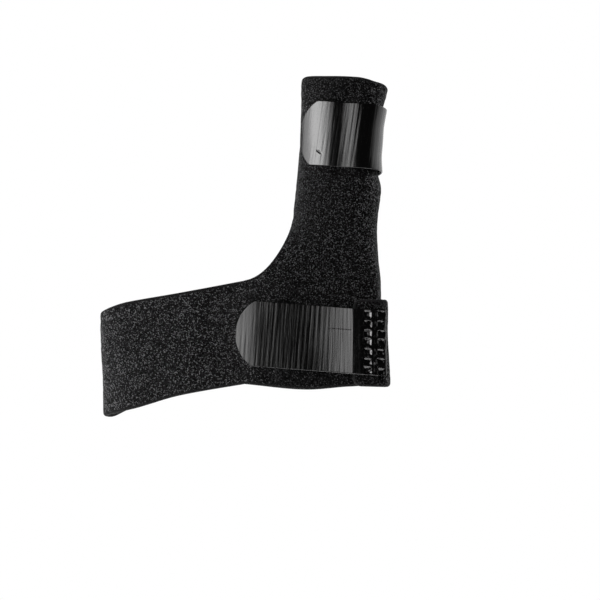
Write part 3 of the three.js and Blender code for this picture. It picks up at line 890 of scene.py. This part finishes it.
# %% Tape sizes
TAPE_THICKNESS = 0.8
FILM = 0.42
TAPE_END_RADIUS = 12.0
TAPE_DROP = 14.0
RIB_PITCH = 1.58
RIB_HEIGHT = 0.034
TAPE_WAVES = 0.25
WELD_LENGTH = 9.9
WELD_SINK = 0.3
WELD_FADE = (3.4, 2.2)
LEAN_RUN = 14
PIT_DEPTH = 0.42
PIT_RIM = 0.1
PIT_SIZES = (1.3, 1.24)
PIT_ROWS = 7
PIT_ROW_PITCH = 2.87

finger_tape = {
    "name": "finger_hook_tape",
    "node": "finger_tab",
    "length": 53.0,
    "start": -34.7,
    "height": FINGER_TAPE_HEIGHT,
    "lapped": False,
    "pits": (1.9, 5.9),
    "bow": {"height": 0.85, "along": 22.0, "half_length": 10.5, "reach": 15.0},
    "seed": 21,
}
hand_tape = {
    "name": "hand_hook_tape",
    "node": "hand_tab",
    "length": 45.9,
    "start": -10.1,
    "height": HAND_TAPE_HEIGHT,
    "lapped": True,
    "pits": (1.75, 5.6),
    "bow": {"height": 0.0, "along": 22.0, "half_length": 10.0, "reach": 15.0},
    "seed": 22,
}
print("tape lengths:", finger_tape["length"], hand_tape["length"], "mm")


# %% Where a tape lies
def tape_place(tape, along, across):
    """Point of the cloth under the tape, its outward way, and the cloth's lift there: the
    tape runs round the cloth and climbs a little, and the hand tape comes down off the
    band's end in a parabola. A stiff tape bows a little off a tight turn."""
    lean = TAPE_SLOPE * eased(along, WELD_LENGTH, WELD_LENGTH + LEAN_RUN)
    length = tape["start"] + along - across * lean
    z = tape["height"] + across + (tape["start"] + along) * TAPE_SLOPE
    place = place_at(length, z)
    lift = np.zeros_like(z)
    if tape["lapped"]:
        on_band = length <= 0
        place = np.where(on_band, place_at(np.minimum(length, 0), z, 4), place)
        lift = np.where(on_band, 0, LAP * (1 - np.clip(length / TAPE_DROP, 0, 1)) ** 2)
    point, outward = cloth_frame(place, z)
    bow = tape["bow"]
    bowed = bow["height"] * bump(along - bow["along"], bow["half_length"])
    bowed = bowed * (1 - (across / bow["reach"]) ** 2)
    lift = lift + TAPE_WAVES * WAVE_HEIGHT * waviness(point) - dents(point) + bowed
    return point, outward, lift


def half_width(tape, along):
    """Half the tape's width, on an arc at its round end."""
    off = np.clip(TAPE_END_RADIUS - (tape["length"] - along), 0, TAPE_END_RADIUS)
    return np.minimum(TAPE_WIDTH / 2, np.sqrt(TAPE_END_RADIUS**2 - off**2))


# %% [markdown]
# ## Relief of the film
#
# The gloss shows every height on the film's back, so the ribs, the pits and the marks of
# use are real relief here. A bump map would shade them, but would leave the outline of the
# pits and the exported mesh flat. All of it is a height over two lengths: along the tape
# from its welded end, and across it.

# %% Ribs
RIB_WANDER = {"middle": 0.65, "size": 0.22, "count": 6, "along": 0.35, "across": 0.12}
SECOND_RIB = 0.35


def ribs(along, across, seed):
    """A sine rib at each row of hooks, whose height wanders along and across the tape."""
    draw = np.random.default_rng(seed)
    wander = RIB_WANDER["middle"]
    for _ in range(RIB_WANDER["count"]):
        way = draw.normal(size=2) * (RIB_WANDER["along"], RIB_WANDER["across"])
        phase = along * way[0] + across * way[1] + draw.uniform(0, 6.3)
        wander = wander + RIB_WANDER["size"] * np.sin(phase)
    past_weld = eased(along, WELD_LENGTH - 1, WELD_LENGTH + 1)
    phase = 2 * math.pi * along / RIB_PITCH
    height = RIB_HEIGHT / 2 * wander * past_weld
    return height * (np.sin(phase) + SECOND_RIB * np.sin(2 * phase + 1))


# %% Weld with its pits
PIT_SPREAD = {"place": 0.09, "size": (0.92, 1.06), "slant": 0.3, "rim": (0.6, 1.3)}
PIT_WALL = (0.45, 0.98)
RIM_PLACE = 1.02
RIM_WIDTH = 0.13
MELT_HEIGHT = 0.018
MELT_WAVES = 10
MELT_PACE = 2.6
MELT_FADE = (3.2, 2.4)


def weld_sink(along):
    """How far the film sinks into the cloth: all along the weld, easing out at its end."""
    return WELD_SINK * (1 - eased(along, WELD_LENGTH - WELD_FADE[0], WELD_LENGTH - WELD_FADE[1]))


def weld(tape, along, across):
    """The weld: the film sinks, and each pit is a rounded square that is melted down inside a
    raised rim. Pits differ a little in size and place. Ten sine waves roughen the melt."""
    draw = np.random.default_rng(tape["seed"])
    relief = -weld_sink(along)
    for column in tape["pits"]:
        for row in range(PIT_ROWS):
            middle = (row - (PIT_ROWS - 1) / 2) * PIT_ROW_PITCH
            shift = draw.normal(size=2) * PIT_SPREAD["place"]
            size = np.array(PIT_SIZES) * draw.uniform(*PIT_SPREAD["size"], size=2)
            a = (along - column - shift[0]) / size[0]
            b = (across - middle - shift[1]) / size[1]
            off = (a**4 + b**4) ** 0.25
            slant = 1 + PIT_SPREAD["slant"] * (draw.normal() * a + draw.normal() * b)
            relief = relief - PIT_DEPTH * slant * (1 - eased(off, *PIT_WALL))
            rim = PIT_RIM * draw.uniform(*PIT_SPREAD["rim"])
            relief = relief + rim * np.exp(-(((off - RIM_PLACE) / RIM_WIDTH) ** 2))
    melt = sum(
        np.sin(along * way[0] + across * way[1] + way[2] * 3)
        for way in draw.normal(size=(MELT_WAVES, 3)) * MELT_PACE
    )
    in_weld = 1 - eased(along, WELD_LENGTH - MELT_FADE[0], WELD_LENGTH - MELT_FADE[1])
    return relief + MELT_HEIGHT * melt * in_weld


# %% Marks of use on the films
NICK = {"along": 45.0, "across": -5.7, "length": 0.8, "width": 0.26, "turn": 0.6, "depth": 0.24}
CREASE = {"first": 10.6, "last": 18.2, "across": 3.15, "width": 0.26, "depth": 0.045}


def marks(tape, along, across):
    """The finger tape has a nick near its tip, a turned oval pit that falls off as a bell
    curve, and the hand tape a crease by its weld, a straight groove."""
    if tape["lapped"]:
        run = eased(along, CREASE["first"] - 0.5, CREASE["first"])
        run = run * (1 - eased(along, CREASE["last"] - 2, CREASE["last"]))
        return -CREASE["depth"] * run * np.exp(-(((across - CREASE["across"]) / CREASE["width"]) ** 2))
    a, b = along - NICK["along"], across - NICK["across"]
    c, s = math.cos(NICK["turn"]), math.sin(NICK["turn"])
    off = ((a * c + b * s) / NICK["length"]) ** 2 + ((b * c - a * s) / NICK["width"]) ** 2
    return -NICK["depth"] * np.exp(-off)


# %% Carry the film's ring along the tape
ACROSS_COUNT = 121
UNDER_COUNT = 21
ROUND_COUNT = 5
WELD_CELL = 0.16
TAPE_CELL = 0.2
TIP_STEPS = 40
TIP_REACH = 6
TIP_CUT = 0.02


def film_ring():
    """The film's section: share of the half width, share of the thickness, and whether the
    point is on the upper face. Both edges are half circles."""
    top = np.linspace(-1, 1, ACROSS_COUNT)
    under = np.linspace(1, -1, UNDER_COUNT)
    turn = np.linspace(0, math.pi, ROUND_COUNT + 2)[1:-1]
    share = np.concatenate([top, np.ones(ROUND_COUNT), under, -np.ones(ROUND_COUNT)])
    level = np.concatenate([np.ones(ACROSS_COUNT), (1 + np.cos(turn)) / 2,
                            np.zeros(UNDER_COUNT), (1 - np.cos(turn)) / 2])
    bulge = np.concatenate([np.zeros(ACROSS_COUNT), np.sin(turn), np.zeros(UNDER_COUNT), -np.sin(turn)])
    return share, level, bulge


def film(tape):
    """Grid of rings along the tape, closed at both ends, as points and faces."""
    length = tape["length"]
    tip = TAPE_END_RADIUS * (1 - np.cos(np.linspace(0, math.pi / 2, TIP_STEPS)))
    tip = length - np.maximum(tip[tip < TIP_REACH], TIP_CUT)[::-1]
    stations = np.concatenate([
        np.arange(0, WELD_LENGTH, WELD_CELL),
        np.arange(WELD_LENGTH, tip[0], TAPE_CELL),
        tip,
    ])
    share, level, bulge = film_ring()
    along = np.repeat(stations, len(share))
    half = half_width(tape, along)
    round_off = FILM / 2
    across = np.tile(share, len(stations)) * (half - round_off)
    across = across + np.tile(bulge, len(stations)) * round_off
    level = np.tile(level, len(stations))
    point, outward, lift = tape_place(tape, along, across)
    relief = ribs(along, across, tape["seed"]) + weld(tape, along, across) + marks(tape, along, across)
    sunk = weld_sink(along)
    bottom = LAY_GAP + TAPE_THICKNESS - FILM - sunk
    rise = lift + bottom + level * (FILM + relief + sunk)
    ring = len(share)
    at = np.arange(len(along)).reshape(len(stations), ring)
    nxt = np.roll(at, -1, axis=1)
    sides = np.stack([at[:-1], nxt[:-1], nxt[1:], at[1:]], -1).reshape(-1, 4)
    faces = [*sides.tolist(), at[0, ::-1].tolist(), at[-1].tolist()]
    uv = np.stack([along, across], -1) / UV_LENGTH
    return point + outward * rise[:, None], faces, uv


# %% [markdown]
# ## Hooks under the film
#
# The hooks are what holds the tape to the loops. A particle system or an array modifier
# could set them, but each row has to follow the film round the finger. So one small bent
# stalk of a few faces is repeated for all places at once, in whole arrays.

# %% Hooks
HOOK_PITCH = (0.79, 1.05)
HOOK_REACH = 0.5
HOOK_WIDTH = 0.17
HOOK_MARGINS = {"ends": 0.8, "edge": 0.5, "first": 0.7}
HOOK_STEP = 0.3
HOOK_SUNK = 0.05
HOOK_PATH = np.array([(0.0, 0.0), (0.02, -0.55), (0.14, -0.95), (0.34, -1.0), (0.44, -0.78)])


def hooks(tape):
    """A small bent stalk, repeated at every pitch in both directions under the film."""
    ends, edge, first = HOOK_MARGINS["ends"], HOOK_MARGINS["edge"], HOOK_MARGINS["first"]
    along = np.arange(WELD_LENGTH + ends, tape["length"] - ends, HOOK_PITCH[0])
    across = np.arange(-TAPE_WIDTH / 2 + first, TAPE_WIDTH / 2 - edge, HOOK_PITCH[1])
    along, across = (grid.ravel() for grid in np.meshgrid(along, across, indexing="ij"))
    inside = np.abs(across) < half_width(tape, along) - edge
    along, across = along[inside], across[inside]
    point, outward, lift = tape_place(tape, along, across)
    ahead = tape_place(tape, along + HOOK_STEP, across)[0]
    ahead = ahead - tape_place(tape, along - HOOK_STEP, across)[0]
    ahead /= np.linalg.norm(ahead, axis=1, keepdims=True)
    side = np.cross(outward, ahead)
    turned = np.where(np.arange(len(along)) % 2 == 0, 1.0, -1.0)[:, None]
    root = point + outward * (lift + LAY_GAP + TAPE_THICKNESS - FILM + HOOK_SUNK)[:, None]
    thick = HOOK_WIDTH / 2
    corners = np.array([(-thick, -thick), (thick, -thick), (thick, thick), (-thick, thick)])
    rings = []
    for step, down in HOOK_PATH:
        for corner in corners:
            shift = ahead * (step * turned * HOOK_REACH + corner[0]) + side * corner[1]
            rings.append(root + shift + outward * down * HOOK_REACH)
    points = np.stack(rings, axis=1).reshape(-1, 3)
    count = len(HOOK_PATH) * 4
    shape = [(4 * i + j, 4 * i + (j + 1) % 4, 4 * i + 4 + (j + 1) % 4, 4 * i + 4 + j)
             for i in range(len(HOOK_PATH) - 1) for j in range(4)]
    shape += [(3, 2, 1, 0), (count - 4, count - 3, count - 2, count - 1)]
    starts = np.arange(len(along))[:, None, None] * count
    faces = (np.array(shape)[None] + starts).reshape(-1, 4)
    return points, faces


# %% [markdown]
# ## Glossy nylon
#
# The tapes are moulded of black nylon. It is glossy, so it shows the lamps as light bands,
# and handling leaves it a little duller in places. A plain black gloss would look like
# glass. So noise varies the roughness, and fine flow marks run across the film.

# %% Nylon
NYLON_BASE = (0.001, 0.001, 0.001, 1)
NYLON_IOR = 1.53
NYLON_ROUGHNESS = (0.1, 0.22)
NYLON_BUMP = 0.08
MARK_SCALE = 420.0
GRAIN_SCALE = 3200.0
GRAIN_SHARE = 0.3
STREAK_SCALE = (17.0, 0.7, 1.0)


def hook_nylon(streaked):
    """Glossy moulded nylon, with handling marks in its gloss. The film's back also has fine
    flow marks across it, noise that is stretched in the film's UVs."""
    material, nodes, links, shader = new_material(
        "film nylon" if streaked else "hook nylon", Base_Color=NYLON_BASE, IOR=NYLON_IOR)
    place = nodes.new("ShaderNodeTexCoord").outputs["Object"]
    handled = texture(nodes, links, "ShaderNodeTexNoise", place, Scale=MARK_SCALE, Detail=4.0)
    handled.inputs["Roughness"].default_value = 0.65
    gloss = nodes.new("ShaderNodeMapRange")
    links.new(handled.outputs["Fac"], gloss.inputs["Value"])
    gloss.inputs["To Min"].default_value, gloss.inputs["To Max"].default_value = NYLON_ROUGHNESS
    links.new(gloss.outputs["Result"], shader.inputs["Roughness"])
    fine = texture(nodes, links, "ShaderNodeTexNoise", place, Scale=GRAIN_SCALE, Detail=1.0)
    height = fine.outputs["Fac"]
    if streaked:
        painted_shade_and_uv_stretch = nodes.new("ShaderNodeMapping")
        painted_shade_and_uv_stretch.inputs["Scale"].default_value = STREAK_SCALE
        links.new(nodes.new("ShaderNodeUVMap").outputs["UV"], painted_shade_and_uv_stretch.inputs["Vector"])
        flow = painted_shade_and_uv_stretch.outputs["Vector"]
        streaks = texture(nodes, links, "ShaderNodeTexNoise", flow, Scale=1.0, Detail=3.0)
        grain = combine(nodes, links, "MULTIPLY", height, GRAIN_SHARE)
        height = combine(nodes, links, "ADD", grain, streaks.outputs["Fac"])
    bumped(nodes, links, shader, height, NYLON_BUMP)
    return material


# %% Build both tapes
def turn_outwards(piece):
    """Recalculates the face normals of a closed mesh, so that they point out."""
    mesh = bmesh.new()
    mesh.from_mesh(piece.data)
    bmesh.ops.recalc_face_normals(mesh, faces=mesh.faces)
    mesh.to_mesh(piece.data)
    mesh.free()


film_nylon, nylon = hook_nylon(True), hook_nylon(False)
for tape in (finger_tape, hand_tape):
    points, faces, uv = film(tape)
    body = new_piece(tape["name"], points, faces, (film_nylon,), uv=uv)
    hook_field = new_piece(tape["name"] + "_hooks", *hooks(tape), (nylon,))
    for piece in (body, hook_field):
        turn_outwards(piece)
        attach(piece, "root")
    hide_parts(tape["node"])

turn_outwards(wrap)
print("finishes:", sorted(material.name for material in bpy.data.materials))

# %% [markdown]
# ## Light, floor and camera
#
# The photograph is lit by large soft boxes at both sides and hardly from the front: flat
# gloss goes black, and what turns to a side lights up. Behind it everything is white. One
# lamp at each side would give hard bands on the tapes, so each side has nested lamps that
# fade at their edges. Lamps above and below light only the cloth.

# %% Soft boxes
SUBJECT = (0.0, 0.0, 0.03)


def soft_box(name, azimuth, elevation, distance, size, radiance, mirrored=True):
    """An area light at angles round the subject (0 is the camera's side, positive is its
    right), whose power follows from its radiance: power = pi times area times radiance. One
    that isn't mirrored lights the cloth, and leaves no glint on the nylon."""
    light = bpy.data.lights.new(name, "AREA")
    light.shape = "RECTANGLE"
    light.size, light.size_y = size
    light.energy = math.pi * size[0] * size[1] * radiance
    lamp = bpy.data.objects.new(name, light)
    a, e = math.radians(azimuth), math.radians(elevation)
    way = np.array((math.sin(a) * math.cos(e), -math.cos(a) * math.cos(e), math.sin(e)))
    lamp.location = np.array(SUBJECT) + way * distance
    lamp.rotation_euler = (math.pi / 2 - e, 0, a)
    lamp.visible_camera = False
    lamp.visible_glossy = mirrored
    bpy.context.scene.collection.objects.link(lamp)


def graded_box(name, steps, distance, height, elevation):
    """A soft box that fades to its sides: nested boxes, each given by the first and last
    azimuth that it covers and by the radiance that it adds."""
    for number, (first, last, radiance) in enumerate(steps):
        middle = (first + last) / 2
        width = 2 * distance * math.tan(math.radians(abs(last - first) / 2))
        soft_box(f"{name} {number}", middle, elevation, distance, (width, height), radiance)


LEFT_BOX = (
    (-7, -112, 0.6),
    (-12, -110, 0.7),
    (-17, -107, 0.8),
    (-22, -104, 0.8),
    (-26, -100, 0.9),
    (-30, -95, 0.9),
    (-34, -90, 1.3),
    (-38, -86, 2.0),
    (-43, -80, 2.8),
    (-49, -72, 3.4),
)
RIGHT_BOX = ((78, 140, 0.4), (90, 134, 0.5))
BOX_DISTANCE = 1.0
BOX_ELEVATION = 8
CLOTH_BOXES = (
    ("high left box", -108, 50, (1.0, 0.6), 18.0),
    ("low left box", -102, -35, (1.2, 0.5), 24.0),
    ("high right box", 100, 45, (1.0, 0.8), 22.0),
)

graded_box("left box", LEFT_BOX, BOX_DISTANCE, 0.75, BOX_ELEVATION)
graded_box("right box", RIGHT_BOX, BOX_DISTANCE, 0.9, BOX_ELEVATION)
for name, azimuth, elevation, size, radiance in CLOTH_BOXES:
    soft_box(name, azimuth, elevation, BOX_DISTANCE, size, radiance, False)
print("radiance at the middle of the left box:", round(sum(step[2] for step in LEFT_BOX), 1))
print("lamps:", len(bpy.data.lights))

# %% [markdown]
# ## White surroundings
#
# The wall behind the splint is white, and the room in front of it is dark. A white room all
# round would turn the black gloss grey. So the surroundings glow only towards the back, and
# the camera itself sees white everywhere. The floor is pale and lies well below.

# %% Surroundings and floor
WALL_GLOW = (0.5, 0.95, 0.01, 0.9)

world = bpy.data.worlds.new("white room")
bpy.context.scene.world = world
world.use_nodes = True
nodes, links = world.node_tree.nodes, world.node_tree.links
way = nodes.new("ShaderNodeSeparateXYZ")
links.new(nodes.new("ShaderNodeTexCoord").outputs["Generated"], way.inputs["Vector"])
glow = map_range(nodes, links, way.outputs["Y"], WALL_GLOW)
seen = nodes.new("ShaderNodeLightPath").outputs["Is Camera Ray"]
links.new(combine(nodes, links, "MAXIMUM", glow, seen), nodes["Background"].inputs["Color"])

FLOOR_DROP = 0.2
FLOOR_REACH = 0.25
FLOOR_GREY = 0.6
floor_mesh = bpy.data.meshes.new("floor")
corners = np.array(((-1, -1), (1, -1), (1, 1), (-1, 1))) * FLOOR_REACH
level = cad_low.z - FLOOR_DROP
floor_mesh.from_pydata([(x, y, level) for x, y in corners.tolist()], [], [(0, 1, 2, 3)])
floor = bpy.data.objects.new("floor", floor_mesh)
bpy.context.scene.collection.objects.link(floor)
pale = new_material("pale floor", Base_Color=(FLOOR_GREY, FLOOR_GREY, FLOOR_GREY, 1), Roughness=0.9)[0]
floor_mesh.materials.append(pale)
print("floor", FLOOR_DROP, "m below the splint")

# %% [markdown]
# ## Camera
#
# The photograph looks straight at the palm side. The width that it shows at the plane of
# the cloth's front is known, so the lens follows from the distance. Moving the camera until
# it looks right would work too, but would not be exact.

# %% Camera
CAMERA_PLACE = (0.01765, -0.6, 0.0154)
FRONT_PLANE = -0.0125
VIEW_WIDTH = 0.1848
SENSOR = 36.0

camera = bpy.data.cameras.new("camera")
camera.sensor_fit = "HORIZONTAL"
camera.sensor_width = SENSOR
camera.lens = SENSOR * (FRONT_PLANE - CAMERA_PLACE[1]) / VIEW_WIDTH
eye = bpy.data.objects.new("camera", camera)
eye.location = CAMERA_PLACE
eye.rotation_euler = (math.pi / 2, 0, 0)
bpy.context.scene.collection.objects.link(eye)
bpy.context.scene.camera = eye
bpy.context.scene.view_settings.view_transform = "Standard"
print("lens:", round(camera.lens, 2), "mm")
